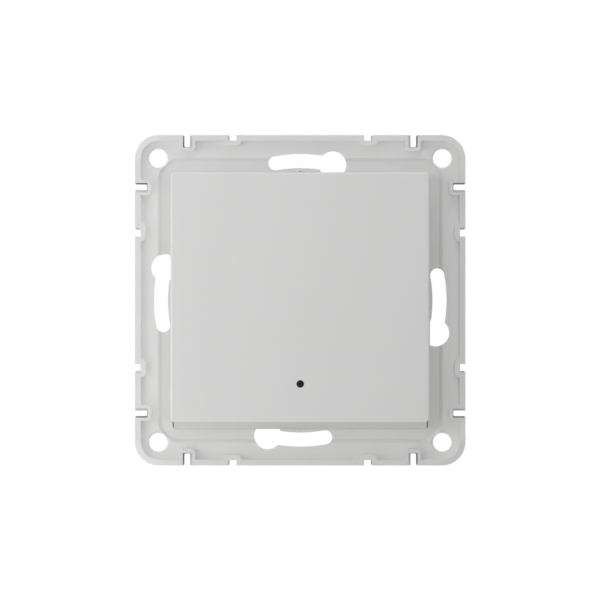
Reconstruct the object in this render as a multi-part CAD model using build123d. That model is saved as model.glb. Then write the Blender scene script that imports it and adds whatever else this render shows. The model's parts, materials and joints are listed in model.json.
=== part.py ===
from build123d import *
import math
import os

# Smart light switch insert: a square mounting frame, one wide key, and a box behind the wall.
# Drawn lying on its back: x to the right, y up the wall, z towards the room, z = 0 on the wall.
# All pieces are stood up at the end, so that +Z is up and the key faces -Y. Sizes are in mm.

# Mounting frame
FRAME_SIDE = 71.0
FRAME_CORNER_R = 5.0
RIM_TOP = 4.4
RIM_WIDTH = 1.25
RIM_HEIGHT = 0.8
RIM_CORNER_CUT = 6.0
RIM_CORNER_SLOPE = 10.0
FIELD_STEP = 0.6
FIELD_STEP_RUN = 0.7
FIELD_MARGIN = 2.88
FIELD_CORNER_R = 4.6
FRAME_BAND = 7.78
WINDOW_CORNER_R = 0.6
WINDOW_COVER = 0.26
WEB_FRONT = 1.5
LIP_WIDTH = 0.45
LIP_HEIGHT = 0.25
LIP_LENGTH = 10.22
CENTRE_MARK_R = 0.18

# Edge notches of the frame, for the cover frame that clips on
DEEP_NOTCH_INSET = 11.25
DEEP_NOTCH_WIDTH = 1.93
DEEP_NOTCH_DEPTH = 2.69
DEEP_NOTCH_DRAFT = 0.15
DEEP_NOTCH_END_DRAFT = 0.34
DEEP_NOTCH_LEDGE = 0.45
DEEP_NOTCH_LEDGE_DROP = 0.7
DEEP_NOTCH_CORNER_R = 0.3
DEEP_BORDER_SIDE = 0.72
DEEP_BORDER_END = 0.8
SHALLOW_NOTCH_INSET = 20.87
SHALLOW_NOTCH_WIDTH = 1.83
SHALLOW_NOTCH_DEPTH = 1.16
SHALLOW_NOTCH_DRAFT = 0.26
SHALLOW_BORDER_SIDE = 0.98
SHALLOW_BORDER_END = 1.14
BORDER_CORNER_R = 0.9

# Screw places of the frame: the slots lie on the 60 mm circle of a round wall box
SLOT_INSET = 5.5
SLOT_WIDTH = 3.03
SLOT_END_ANGLE = 10.3
SLOT_DRAFT = 3.5
KEYHOLE_D = 5.85
KEYHOLE_ANGLE = 13.5
CORNER_HOLE_D = 4.0
CORNER_HOLE_INSET = 4.95
CORNER_SINK_D = 5.1
CORNER_SINK_DEPTH = 0.25
BACK_WALL = 1.7
BACK_CORE_DEPTH = 1.8
BACK_CORE_WIDTH = 3.2
BACK_CORE_SLOT_GAP = 1.0
BACK_CORE_NOTCH_GAP = 1.5

# Key
KEY_FRONT = 9.5
KEY_THICKNESS = 2.0
KEY_SIDE_GAP = 0.07
KEY_TOP_GAP = 0.42
KEY_FOOT_GAP = 0.12
KEY_BEVEL_RUN = 1.67
KEY_BEVEL_LIFT = 0.5
KEY_CORNER_R = 0.9
KEY_EDGE_R = 0.45
KEY_END_DRAFT = 2.5
SKIRT_INSET = 0.7
SKIRT_WALL = 1.2
SKIRT_DIP = 0.1
KEY_SWING = 1.4
RIB_WIDTH = 1.0
RIB_HEIGHT = 1.5
LONG_RIB_X = 20.5
CROSS_RIB_Y = 4.0

# Hinge at the upper edge of the key
HINGE_INSET = 3.0
HINGE_SIDE_INSET = 9.5
HINGE_LIFT = 2.1
PIN_D = 2.0
PIN_CLEARANCE = 0.05
PIN_PROUD = 0.2
EAR_THICKNESS = 2.0
EAR_WALL = 1.15
EAR_MOUTH = 1.7
ARM_THICKNESS = 1.5
ARM_WALL = 0.8
ARM_GAP = 0.3

# Key stops, hooks and return springs
STOP_SIDE_INSET = 4.5
STOP_INSET = 2.5
STOP_D = 2.2
STOP_GAP = 0.05
HOOK_X = 7.0
HOOK_INSET = 4.0
HOOK_WIDTH = 4.0
HOOK_LEG = 1.2
HOOK_BARB = 0.7
HOOK_BARB_HEIGHT = 0.9
HOOK_GAP = 0.06
HOOK_SLOT_GAP = 0.3
SPRING_INSET = 9.5
SPRING_MEAN_R = 1.75
SPRING_WIRE = 0.4
SPRING_TURNS = 5
SPRING_SEAT_GAP = 0.02
SPRING_POST_GAP = 0.3
SPRING_POST_LENGTH = 2.0
CUP_GAP = 0.4
CUP_DEPTH = 0.8

# Light guide
LENS_D = 1.6
LENS_LENGTH = 1.2
LENS_INSET = 2.17
GUIDE_D = 2.4
GUIDE_FIT = 0.02
GUIDE_END = -0.2
GUIDE_HOLE_GAP = 0.4
GUIDE_BOSS_WALL = 1.2
GUIDE_BOSS_LENGTH = 2.2

# Housing behind the wall
HOUSING_SIDE = 45.0
HOUSING_CORNER_R = 9.0
HOUSING_DEPTH = 28.0
HOUSING_WALL = 1.6
HOUSING_FLOOR = 1.6
HOUSING_EDGE = 1.0
CLAMP_WIDTH = 2.5
MOUTH_REBATE = 0.5
MOUTH_GAP = 0.5
BOSS_INSET = 5.9
BOSS_D = 5.0
BOARD_HOLE_GAP = 0.2
BOARD_SEAT_WIDTH = 0.6
VENT_COUNT = 6
VENT_PITCH = 3.4
VENT_WIDTH = 1.3
VENT_LENGTH = 11.0
VENT_X = 9.5
VENT_Y = 6.5
GRIP_COUNT = 5
GRIP_PITCH = 3.0
GRIP_WIDTH = 1.2
GRIP_HEIGHT = 0.4
GRIP_FROM = 4.0
GRIP_LENGTH = 14.0

# Front cover
COVER_THICKNESS = 1.3
COVER_CORNER_R = 4.0
PLUG_GAP = 0.2
PLUG_WALL = 1.2
HOLD_POST_INSET = 4.3
HOLD_POST_D = 2.4
PLUNGER_HOLE_GAP = 0.3

# Cover screws
SCREW_D = 1.9
SCREW_LENGTH = 8.0
SCREW_TIP_ROOM = 1.0
SCREW_FIT = 0.03
SCREW_PASS_GAP = 0.2
SCREW_HEAD_D = 3.6
SCREW_HEAD_HEIGHT = 0.9
SCREW_HEAD_GAP = 0.2
DRIVE_WIDTH = 0.5
DRIVE_DEPTH = 0.4

# Circuit boards
BOARD_GAP = 0.5
BOARD_THICKNESS = 1.6
CONTROL_BOARD_FRONT = -2.4
HEADER_HEIGHT = 3.0
HEADER_LENGTH = 15.2
HEADER_WIDTH = 2.5
HEADER_Y = -8.0

# Parts on the control board
TACT_LEVER = 10.0
TACT_SIDE = 6.0
TACT_HEIGHT = 3.5
TACT_EDGE = 0.4
PLUNGER_D = 3.0
PLUNGER_PROUD = 2.6
PLUNGER_DEPTH = 0.8
PLUNGER_WELL_DEPTH = 1.3
PLUNGER_CLEARANCE = 0.06
PLUNGER_TOUCH_GAP = 0.03
LED_LENGTH = 1.6
LED_WIDTH = 0.8
LED_HEIGHT = 0.65
RADIO_WIDTH = 15.0
RADIO_THICKNESS = 0.8
RADIO_EDGE_GAP = 4.4
RADIO_BOSS_GAP = 0.4
RADIO_TACT_GAP = 1.0
SHIELD_SIDE_GAP = 1.5
SHIELD_END_GAP = 0.8
SHIELD_HEIGHT = 1.8
ANTENNA_LENGTH = 5.2

# Parts on the power board, each placed by its gaps to the walls, the bosses and its neighbours
RELAY_WIDTH = 10.2
RELAY_WALL_GAP = 2.8
RELAY_TOP_GAP = 0.25
RELAY_FOOT_GAP = 4.25
RELAY_FLOOR_GAP = 2.6
RELAY_EDGE = 0.5
TRANSFORMER_LENGTH = 11.0
TRANSFORMER_WALL_GAP = 2.4
TRANSFORMER_RELAY_GAP = 2.4
TRANSFORMER_STORAGE_GAP = 1.5
TRANSFORMER_FLOOR_GAP = 4.8
TRANSFORMER_WINDOW = 2.2
STORAGE_D = 8.0
STORAGE_WALL_GAP = 4.9
STORAGE_BOSS_DROP = 7.6
STORAGE_FLOOR_GAP = 3.8
FILTER_WIDTH = 5.0
FILTER_CHOKE_GAP = 2.1
FILTER_TRANSFORMER_GAP = 2.5
FILTER_BAY_GAP = 4.65
FILTER_FLOOR_GAP = 6.8
FILTER_EDGE = 0.6
CHOKE_D = 7.0
CHOKE_FUSE_GAP = 1.3
CHOKE_STORAGE_GAP = 1.0
CHOKE_FLOOR_GAP = 7.8
CHOKE_FLANGE = 1.4
CHOKE_GROOVE = 0.8
FUSE_D = 6.0
FUSE_WALL_GAP = 1.5
FUSE_FLOOR_GAP = 9.8
VARISTOR_D = 9.0
VARISTOR_THICKNESS = 4.0
VARISTOR_LEAD_D = 0.8
VARISTOR_LEAD_PITCH = 5.0
VARISTOR_STANDOFF = 1.2
VARISTOR_WALL_GAP = 3.9
VARISTOR_CHOKE_GAP = 0.6

# Wire terminals: a captive screw lifts a cage against a fixed bar
TERMINAL_COUNT = 3
BAY_BOSS_WALL = 0.75
BAY_DIVIDER = 1.7
BAY_WALL = 1.2
CAGE_LENGTH = 5.6
CAGE_SIDE_WALL = 0.9
CAGE_FRONT_WALL = 1.0
CAGE_THREAD_WALL = 1.6
CAGE_CLEARANCE = 0.15
CAGE_BAR_GAP = 0.2
CAGE_BOARD_GAP = 2.0
WIRE_SPACE = 4.4
WIRE_FUNNEL = 0.6
BAR_SIDE_GAP = 0.2
BAR_THICKNESS = 1.0
TERMINAL_SCREW_D = 2.9
TERMINAL_FIT = 0.06
TERMINAL_HEAD_D = 4.8
TERMINAL_HEAD_HEIGHT = 1.8
TERMINAL_HEAD_GAP = 0.2
TERMINAL_TIP_GAP = 0.05
TERMINAL_SLOT_WIDTH = 0.9
TERMINAL_SLOT_DEPTH = 0.9
DRIVER_HOLE_LEDGE = 0.5
DRIVER_COLLAR_WALL = 0.9
DRIVER_COLLAR_HEIGHT = 0.6

# Heights and places worked out from the sizes above
frame_half = FRAME_SIDE / 2
window_side = FRAME_SIDE - 2 * FRAME_BAND
window_half = window_side / 2
lip_gap_half = window_half - LIP_LENGTH
deep_notch_at = frame_half - DEEP_NOTCH_INSET
shallow_notch_at = frame_half - SHALLOW_NOTCH_INSET
outer_field = RIM_TOP - RIM_HEIGHT
inner_field = outer_field - FIELD_STEP
corner_hole_at = frame_half - CORNER_HOLE_INSET
slot_radius = frame_half - SLOT_INSET
keyhole_side = slot_radius * math.sin(math.radians(KEYHOLE_ANGLE)) + KEYHOLE_D / 2
core_middle = frame_half - BACK_WALL - BACK_CORE_WIDTH / 2
core_from = keyhole_side + BACK_CORE_SLOT_GAP
core_to = deep_notch_at - DEEP_NOTCH_WIDTH / 2 - BACK_CORE_NOTCH_GAP

key_half = window_half - KEY_SIDE_GAP
key_top = window_half - KEY_TOP_GAP
key_foot = -(window_half - KEY_FOOT_GAP)
key_bottom = key_foot + KEY_BEVEL_RUN
key_under = KEY_FRONT - KEY_THICKNESS
skirt_half = key_half - SKIRT_INSET
skirt_end = inner_field - SKIRT_DIP
skirt_top = key_top - SKIRT_INSET

housing_half = HOUSING_SIDE / 2
cavity_half = housing_half - HOUSING_WALL
floor_inside = HOUSING_FLOOR - HOUSING_DEPTH
opening_side = HOUSING_SIDE - 2 * CLAMP_WIDTH
opening_half = opening_side / 2
opening_corner_r = HOUSING_CORNER_R - CLAMP_WIDTH
boss_at = housing_half - BOSS_INSET
cover_front = WEB_FRONT + COVER_THICKNESS
hinge_x = housing_half - HINGE_SIDE_INSET
hinge_y = housing_half - HINGE_INSET
hinge_z = cover_front + HINGE_LIFT
ear_inside = hinge_x - EAR_THICKNESS / 2
ear_outside = hinge_x + EAR_THICKNESS / 2
arm_outside = ear_inside - ARM_GAP
stop_x = housing_half - STOP_SIDE_INSET
stop_y = STOP_INSET - housing_half
hook_y = HOOK_INSET - opening_half
spring_x = housing_half - SPRING_INSET
spring_y = -spring_x
lens_y = LENS_INSET - opening_half
hold_post_x = housing_half - HOLD_POST_INSET
cup_floor = cover_front - CUP_DEPTH
cup_d = 2 * SPRING_MEAN_R + SPRING_WIRE + 2 * CUP_GAP
screw_seat = cover_front - SCREW_HEAD_HEIGHT

board_half = cavity_half - BOARD_GAP
board_side = 2 * board_half
board_corner_r = HOUSING_CORNER_R - HOUSING_WALL - BOARD_GAP
control_board_rear = CONTROL_BOARD_FRONT - BOARD_THICKNESS
power_board_front = control_board_rear - HEADER_HEIGHT
power_board_rear = power_board_front - BOARD_THICKNESS
control_hole_d = BOSS_D + 2 * BOARD_HOLE_GAP
control_seat_d = control_hole_d + 2 * BOARD_SEAT_WIDTH
power_hole_d = control_seat_d + 2 * BOARD_HOLE_GAP
power_seat_d = power_hole_d + 2 * BOARD_SEAT_WIDTH
tact_y = hinge_y - TACT_LEVER
tact_front = CONTROL_BOARD_FRONT + TACT_HEIGHT
plunger_top = tact_front + PLUNGER_PROUD
radio_left = RADIO_EDGE_GAP - board_half
radio_right = radio_left + RADIO_WIDTH
radio_foot = control_hole_d / 2 + RADIO_BOSS_GAP - boss_at
radio_top = tact_y - TACT_SIDE / 2 - RADIO_TACT_GAP

seat_inside = boss_at - power_seat_d / 2
bay_half = seat_inside - BAY_BOSS_WALL
pocket_width = (2 * bay_half - (TERMINAL_COUNT - 1) * BAY_DIVIDER) / TERMINAL_COUNT
terminal_pitch = pocket_width + BAY_DIVIDER
terminal_x = [(i - (TERMINAL_COUNT - 1) / 2) * terminal_pitch for i in range(TERMINAL_COUNT)]
cage_half = pocket_width / 2 - CAGE_CLEARANCE
cage_inner = 2 * (cage_half - CAGE_SIDE_WALL)
bar_width = cage_inner - 2 * BAR_SIDE_GAP
driver_hole_d = TERMINAL_HEAD_D - 2 * DRIVER_HOLE_LEDGE
cage_front = power_board_rear - CAGE_BOARD_GAP
cage_front_inside = cage_front - CAGE_FRONT_WALL
bar_front = cage_front_inside - WIRE_SPACE
bar_rear = bar_front - BAR_THICKNESS
tip = bar_rear - TERMINAL_TIP_GAP
head_rear = floor_inside + TERMINAL_HEAD_GAP
head_front = head_rear + TERMINAL_HEAD_HEIGHT
cage_rear_inside = bar_rear - CAGE_BAR_GAP
cage_rear = cage_rear_inside - CAGE_THREAD_WALL
cage_from = CAGE_CLEARANCE - cavity_half
cage_to = cage_from + CAGE_LENGTH
cage_middle = (cage_from + cage_to) / 2
tab_from = cage_to + CAGE_CLEARANCE
tab_to = tab_from + BAR_THICKNESS
bay_wall_from = tab_to + CAGE_CLEARANCE
bay_wall_to = bay_wall_from + BAY_WALL

relay_left = RELAY_WALL_GAP - cavity_half
relay_right = relay_left + RELAY_WIDTH
relay_top = seat_inside - RELAY_TOP_GAP
relay_foot = RELAY_FOOT_GAP - seat_inside
storage_x = cavity_half - STORAGE_WALL_GAP - STORAGE_D / 2
storage_y = boss_at - STORAGE_BOSS_DROP
transformer_left = relay_right + TRANSFORMER_RELAY_GAP
transformer_right = storage_x - STORAGE_D / 2 - TRANSFORMER_STORAGE_GAP
transformer_top = cavity_half - TRANSFORMER_WALL_GAP
transformer_foot = transformer_top - TRANSFORMER_LENGTH
fuse_x = cavity_half - FUSE_WALL_GAP - FUSE_D / 2
choke_x = fuse_x - FUSE_D / 2 - CHOKE_FUSE_GAP - CHOKE_D / 2
choke_y = storage_y - STORAGE_D / 2 - CHOKE_STORAGE_GAP - CHOKE_D / 2
filter_right = choke_x - CHOKE_D / 2 - FILTER_CHOKE_GAP
filter_top = transformer_foot - FILTER_TRANSFORMER_GAP
filter_foot = bay_wall_to + FILTER_BAY_GAP
varistor_x = cavity_half - VARISTOR_WALL_GAP - VARISTOR_D / 2
varistor_y = choke_y - CHOKE_D / 2 - VARISTOR_CHOKE_GAP - VARISTOR_THICKNESS / 2


def block(x0, x1, y0, y1, z0, z1):
    """A box given by its two faces along each axis."""
    middle = Pos((x0 + x1) / 2, (y0 + y1) / 2, (z0 + z1) / 2)
    return middle * Box(x1 - x0, y1 - y0, z1 - z0)


def rod(x, y, diameter, z0, z1):
    """A round pin that stands along z."""
    return Pos(x, y, (z0 + z1) / 2) * Cylinder(diameter / 2, z1 - z0)


def cross_rod(x0, x1, y, z, diameter):
    """A round pin that lies along x."""
    return Pos((x0 + x1) / 2, y, z) * Rot(0, 90, 0) * Cylinder(diameter / 2, x1 - x0)


def slab(sketch, z0, z1):
    """A flat outline made solid between two heights."""
    return extrude(Pos(0, 0, z0) * sketch, z1 - z0)


def side_profile(points, x0, x1):
    """An outline of (y, z) points made solid from x0 to x1."""
    outline = make_face(Polyline([(x0, y, z) for y, z in points], close=True))
    return extrude(outline, x1 - x0, dir=(1, 0, 0))


def quarter_turns(shape):
    """The shape at all four sides of the frame."""
    return [Rot(0, 0, 90 * turn) * shape for turn in range(4)]


def both_hands(shape):
    """The shape and its mirror image across the upright middle plane."""
    return [shape, mirror(shape, about=Plane.YZ)]


def corners(distance):
    """The four corner points at one distance from both middle lines."""
    return [(sx * distance, sy * distance) for sx in (-1, 1) for sy in (-1, 1)]


def cross_drive(x, y, width, depth, length, z_face, inward):
    """A cross-shaped recess cut from the face at z_face, along z in the given direction."""
    z_low = min(z_face, z_face + inward * depth)
    z_high = max(z_face, z_face + inward * depth)
    across = block(x - length / 2, x + length / 2, y - width / 2, y + width / 2, z_low, z_high)
    along = block(x - width / 2, x + width / 2, y - length / 2, y + length / 2, z_low, z_high)
    return across + along


# Mounting frame

def deep_notch():
    """A clip notch in the upper edge, with drafted walls, a rounded corner and a ledge at its inner side."""
    inner = deep_notch_at - DEEP_NOTCH_WIDTH / 2
    outer = deep_notch_at + DEEP_NOTCH_WIDTH / 2
    straight = inner + DEEP_NOTCH_LEDGE
    end = frame_half - DEEP_NOTCH_DEPTH
    front = notch_outline(straight, outer, end, DEEP_NOTCH_CORNER_R)
    rear = notch_outline(straight, outer - DEEP_NOTCH_DRAFT, end + DEEP_NOTCH_END_DRAFT, DEEP_NOTCH_CORNER_R)
    slot = loft([rear, Pos(0, 0, RIM_TOP) * front])
    return slot + block(inner, straight, end, frame_half, RIM_TOP - DEEP_NOTCH_LEDGE_DROP, RIM_TOP)


def notch_outline(inner, outer, end, corner_r):
    """The outline of a notch from the frame's upper edge down to its end, with a rounded outer corner."""
    width = outer - inner
    depth = frame_half - end
    outline = Pos((inner + outer) / 2, end + depth / 2) * Rectangle(width, depth)
    return fillet(outline.vertices().group_by(Axis.Y)[0].sort_by(Axis.X)[-1], corner_r)


def shallow_notch():
    """A guide notch in the upper edge, with a drafted outer wall."""
    inner = shallow_notch_at - SHALLOW_NOTCH_WIDTH / 2
    outer = shallow_notch_at + SHALLOW_NOTCH_WIDTH / 2
    points = [(inner, 0), (outer - SHALLOW_NOTCH_DRAFT, 0), (outer, RIM_TOP), (inner, RIM_TOP)]
    face = make_face(Polyline([(x, frame_half, z) for x, z in points], close=True))
    return extrude(face, SHALLOW_NOTCH_DEPTH, dir=(0, -1, 0))


def notch_border(middle, width, depth, side, end):
    """The raised border of one notch, as an outline that runs past the frame's edge."""
    full_width = width + 2 * side
    return Pos(middle, frame_half) * RectangleRounded(full_width, 2 * (depth + end), BORDER_CORNER_R)


def keyhole_slot():
    """One curved screw slot on the box circle, with its wide entry, drafted to open towards the rear."""
    arc = CenterArc((0, 0), slot_radius, 90 - KEYHOLE_ANGLE, KEYHOLE_ANGLE + SLOT_END_ANGLE)
    spread = inner_field * math.tan(math.radians(SLOT_DRAFT))
    entry = Pos(arc @ 0) * Circle(KEYHOLE_D / 2 + spread)
    return extrude(SlotArc(arc, SLOT_WIDTH + 2 * spread) + entry, RIM_TOP, taper=SLOT_DRAFT)


def rim_corner_cutter():
    """The wedge that slopes the rim down at one corner."""
    start = frame_half * math.sqrt(2) - RIM_CORNER_CUT / math.sqrt(2)
    end = start + RIM_CORNER_CUT
    drop = (end - start) * math.tan(math.radians(RIM_CORNER_SLOPE))
    points = [(start, RIM_TOP), (end, RIM_TOP), (end, RIM_TOP - drop)]
    face = make_face(Polyline([(x, 0, z) for x, z in points], close=True))
    wedge = extrude(face, FRAME_SIDE / 2, dir=(0, 1, 0), both=True)
    return Rot(0, 0, 45) * wedge


def support_frame():
    deep_border = notch_border(deep_notch_at, DEEP_NOTCH_WIDTH, DEEP_NOTCH_DEPTH,
                               DEEP_BORDER_SIDE, DEEP_BORDER_END)
    shallow_border = notch_border(shallow_notch_at, SHALLOW_NOTCH_WIDTH, SHALLOW_NOTCH_DEPTH,
                                  SHALLOW_BORDER_SIDE, SHALLOW_BORDER_END)

    frame = slab(RectangleRounded(FRAME_SIDE, FRAME_SIDE, FRAME_CORNER_R), 0, RIM_TOP)
    field_side = FRAME_SIDE - 2 * RIM_WIDTH
    field = RectangleRounded(field_side, field_side, FRAME_CORNER_R - RIM_WIDTH)
    for border in (deep_border, shallow_border):
        for hand in both_hands(border):
            field -= quarter_turns(hand)
    frame -= slab(field, outer_field, RIM_TOP)

    step_side = window_side + 2 * (FIELD_MARGIN - FIELD_STEP_RUN)
    step_outline = RectangleRounded(step_side, step_side, FIELD_CORNER_R - FIELD_STEP_RUN)
    step_angle = math.degrees(math.atan(FIELD_STEP_RUN / FIELD_STEP))
    frame -= extrude(Pos(0, 0, inner_field) * step_outline, FIELD_STEP, taper=-step_angle)

    lip_side = window_side + 2 * LIP_WIDTH
    lip = slab(RectangleRounded(lip_side, lip_side, WINDOW_CORNER_R + LIP_WIDTH),
               inner_field, inner_field + LIP_HEIGHT)
    lip -= block(-lip_gap_half, lip_gap_half, -lip_side, lip_side, inner_field, RIM_TOP)
    lip -= block(-lip_side, lip_side, -lip_gap_half, lip_gap_half, inner_field, RIM_TOP)
    lip -= block(-lip_side, lip_side, -lip_side, -window_half, inner_field, RIM_TOP)
    frame += lip

    window_width = window_side - 2 * WINDOW_COVER
    window_height = window_side - WINDOW_COVER
    window = Pos(0, -WINDOW_COVER / 2) * RectangleRounded(window_width, window_height, WINDOW_CORNER_R)
    frame -= slab(window, WEB_FRONT, RIM_TOP)
    frame -= slab(RectangleRounded(opening_side, opening_side, opening_corner_r), 0, WEB_FRONT)
    rebate_side = HOUSING_SIDE + 2 * MOUTH_GAP
    frame -= slab(RectangleRounded(rebate_side, rebate_side, HOUSING_CORNER_R + MOUTH_GAP), 0, MOUTH_REBATE)
    mark = rod(0, window_half, 2 * CENTRE_MARK_R, WEB_FRONT, RIM_TOP)
    mark += block(-CENTRE_MARK_R, CENTRE_MARK_R, window_half - WINDOW_COVER, window_half, WEB_FRONT, RIM_TOP)
    frame -= quarter_turns(mark)

    frame -= quarter_turns(keyhole_slot())
    sink = Cone(CORNER_HOLE_D / 2, CORNER_SINK_D / 2, CORNER_SINK_DEPTH)
    for x, y in corners(corner_hole_at):
        frame -= rod(x, y, CORNER_HOLE_D, 0, RIM_TOP)
        frame -= Pos(x, y, outer_field - CORNER_SINK_DEPTH / 2) * sink

    core = Pos((core_from + core_to) / 2, core_middle) * Rectangle(core_to - core_from, BACK_CORE_WIDTH)
    core -= shallow_border
    for hand in both_hands(slab(core, 0, BACK_CORE_DEPTH)):
        frame -= quarter_turns(hand)
    for cutter in (deep_notch(), shallow_notch()):
        for hand in both_hands(cutter):
            frame -= quarter_turns(hand)
    frame -= quarter_turns(rim_corner_cutter())
    return frame


# Key and light guide

def hinge_arm():
    """The right-hand arm of the key with its pin, which turns in the cover's ear."""
    arm_inside = arm_outside - ARM_THICKNESS
    end_d = PIN_D + 2 * ARM_WALL
    arm = block(arm_inside, arm_outside, hinge_y - end_d / 2, hinge_y + end_d / 2, hinge_z, key_under)
    arm += cross_rod(arm_inside, arm_outside, hinge_y, hinge_z, end_d)
    return arm + cross_rod(arm_inside, ear_outside + PIN_PROUD, hinge_y, hinge_z, PIN_D)


def key_hook():
    """A hook under the key that catches below the front cover and holds the key at rest."""
    barb_top = WEB_FRONT - HOOK_GAP
    barb_low = barb_top - HOOK_BARB_HEIGHT
    leg = block(HOOK_X - HOOK_WIDTH / 2, HOOK_X + HOOK_WIDTH / 2,
                hook_y - HOOK_LEG / 2, hook_y + HOOK_LEG / 2, barb_low, key_under)
    barb_from = hook_y + HOOK_LEG / 2
    points = [(barb_from, barb_low), (barb_from, barb_top), (barb_from + HOOK_BARB, barb_top)]
    return leg + side_profile(points, HOOK_X - HOOK_WIDTH / 2, HOOK_X + HOOK_WIDTH / 2)


def key():
    face_length = key_top - key_bottom
    face = Pos(0, (key_top + key_bottom) / 2) * RectangleRounded(2 * key_half, face_length, KEY_CORNER_R)
    plate = slab(face, key_under, KEY_FRONT)
    shell = fillet(plate.edges().group_by(Axis.Z)[-1], KEY_EDGE_R)

    bevel_end = inner_field + KEY_BEVEL_LIFT
    wall_points = [
        (key_bottom, KEY_FRONT),
        (key_foot, bevel_end),
        (key_foot, skirt_end),
        (key_foot + SKIRT_WALL, skirt_end),
        (key_foot + SKIRT_WALL, bevel_end),
        (key_bottom + SKIRT_WALL, key_under),
        (key_bottom + SKIRT_WALL, KEY_FRONT),
    ]
    wall_half = skirt_half + (KEY_FRONT - skirt_end) * math.tan(math.radians(KEY_END_DRAFT))
    end_points = [(skirt_half, KEY_FRONT), (wall_half, skirt_end), (wall_half, KEY_FRONT)]
    end_face = make_face(Polyline([(x, key_foot, z) for x, z in end_points], close=True))
    wall = side_profile(wall_points, -wall_half, wall_half)
    wall -= both_hands(extrude(end_face, KEY_BEVEL_RUN + SKIRT_WALL, dir=(0, 1, 0)))
    shell += wall
    side = block(skirt_half - SKIRT_WALL, skirt_half, key_foot + SKIRT_WALL, skirt_top, skirt_end, key_under)
    shell += both_hands(side)
    shell += block(-skirt_half, skirt_half, skirt_top - SKIRT_WALL, skirt_top, skirt_end, key_under)
    side_gusset = block(skirt_half - SKIRT_WALL, skirt_half, key_foot, key_foot + SKIRT_WALL,
                        skirt_end, key_under)
    slope_cut = side_profile([wall_points[0], wall_points[1], (key_foot, KEY_FRONT)],
                             skirt_half - SKIRT_WALL, skirt_half)
    shell += both_hands(side_gusset - slope_cut)

    rib_low = key_under - RIB_HEIGHT
    rib_end = key_bottom + SKIRT_WALL
    long_rib = block(LONG_RIB_X - RIB_WIDTH / 2, LONG_RIB_X + RIB_WIDTH / 2,
                     rib_end, skirt_top - SKIRT_WALL, rib_low, key_under)
    shell += both_hands(long_rib)
    for y in (-CROSS_RIB_Y, CROSS_RIB_Y):
        shell += block(-skirt_half, skirt_half, y - RIB_WIDTH / 2, y + RIB_WIDTH / 2, rib_low, key_under)

    shell += both_hands(hinge_arm())
    shell += both_hands(key_hook())
    stop_travel = (hinge_y - stop_y) * math.sin(math.radians(KEY_SWING))
    stop_end = cover_front + stop_travel + STOP_GAP
    post_d = 2 * SPRING_MEAN_R - SPRING_WIRE - 2 * SPRING_POST_GAP
    shell += both_hands(rod(stop_x, stop_y, STOP_D, stop_end, key_under))
    shell += both_hands(rod(spring_x, spring_y, post_d, key_under - SPRING_POST_LENGTH, key_under))
    shell += rod(0, tact_y, PLUNGER_D, plunger_top + PLUNGER_TOUCH_GAP, key_under)

    boss_d = GUIDE_D + 2 * GUIDE_FIT + 2 * GUIDE_BOSS_WALL
    shell += rod(0, lens_y, boss_d, key_under - GUIDE_BOSS_LENGTH, key_under)
    shoulder = KEY_FRONT - LENS_LENGTH
    shell -= rod(0, lens_y, LENS_D + 2 * GUIDE_FIT, shoulder, KEY_FRONT)
    shell -= rod(0, lens_y, GUIDE_D + 2 * GUIDE_FIT, key_under - GUIDE_BOSS_LENGTH, shoulder)
    return shell


def light_guide():
    shoulder = KEY_FRONT - LENS_LENGTH
    return rod(0, lens_y, LENS_D, shoulder, KEY_FRONT) + rod(0, lens_y, GUIDE_D, GUIDE_END, shoulder)


def return_spring():
    """The right-hand coil spring between the cover's cup and the key."""
    low = cup_floor + SPRING_SEAT_GAP + SPRING_WIRE / 2
    high = key_under - SPRING_SEAT_GAP - SPRING_WIRE / 2
    pitch = (high - low) / SPRING_TURNS
    path = Pos(spring_x, spring_y, low) * Helix(pitch, high - low, SPRING_MEAN_R)
    section = Plane(path @ 0, z_dir=path % 0) * Circle(SPRING_WIRE / 2)
    return sweep(section, path, is_frenet=True)


# Front cover, housing and their screws

def hinge_ear():
    """The right-hand ear of the cover, open at the front so that the key's pin snaps in."""
    bore_d = PIN_D + 2 * PIN_CLEARANCE
    ear_d = bore_d + 2 * EAR_WALL
    ear = block(ear_inside, ear_outside, hinge_y - ear_d / 2, hinge_y + ear_d / 2, cover_front, hinge_z)
    ear += cross_rod(ear_inside, ear_outside, hinge_y, hinge_z, ear_d)
    ear -= cross_rod(ear_inside, ear_outside, hinge_y, hinge_z, bore_d)
    mouth = block(ear_inside, ear_outside, hinge_y - EAR_MOUTH / 2, hinge_y + EAR_MOUTH / 2,
                  hinge_z, hinge_z + ear_d)
    return ear - mouth


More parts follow.
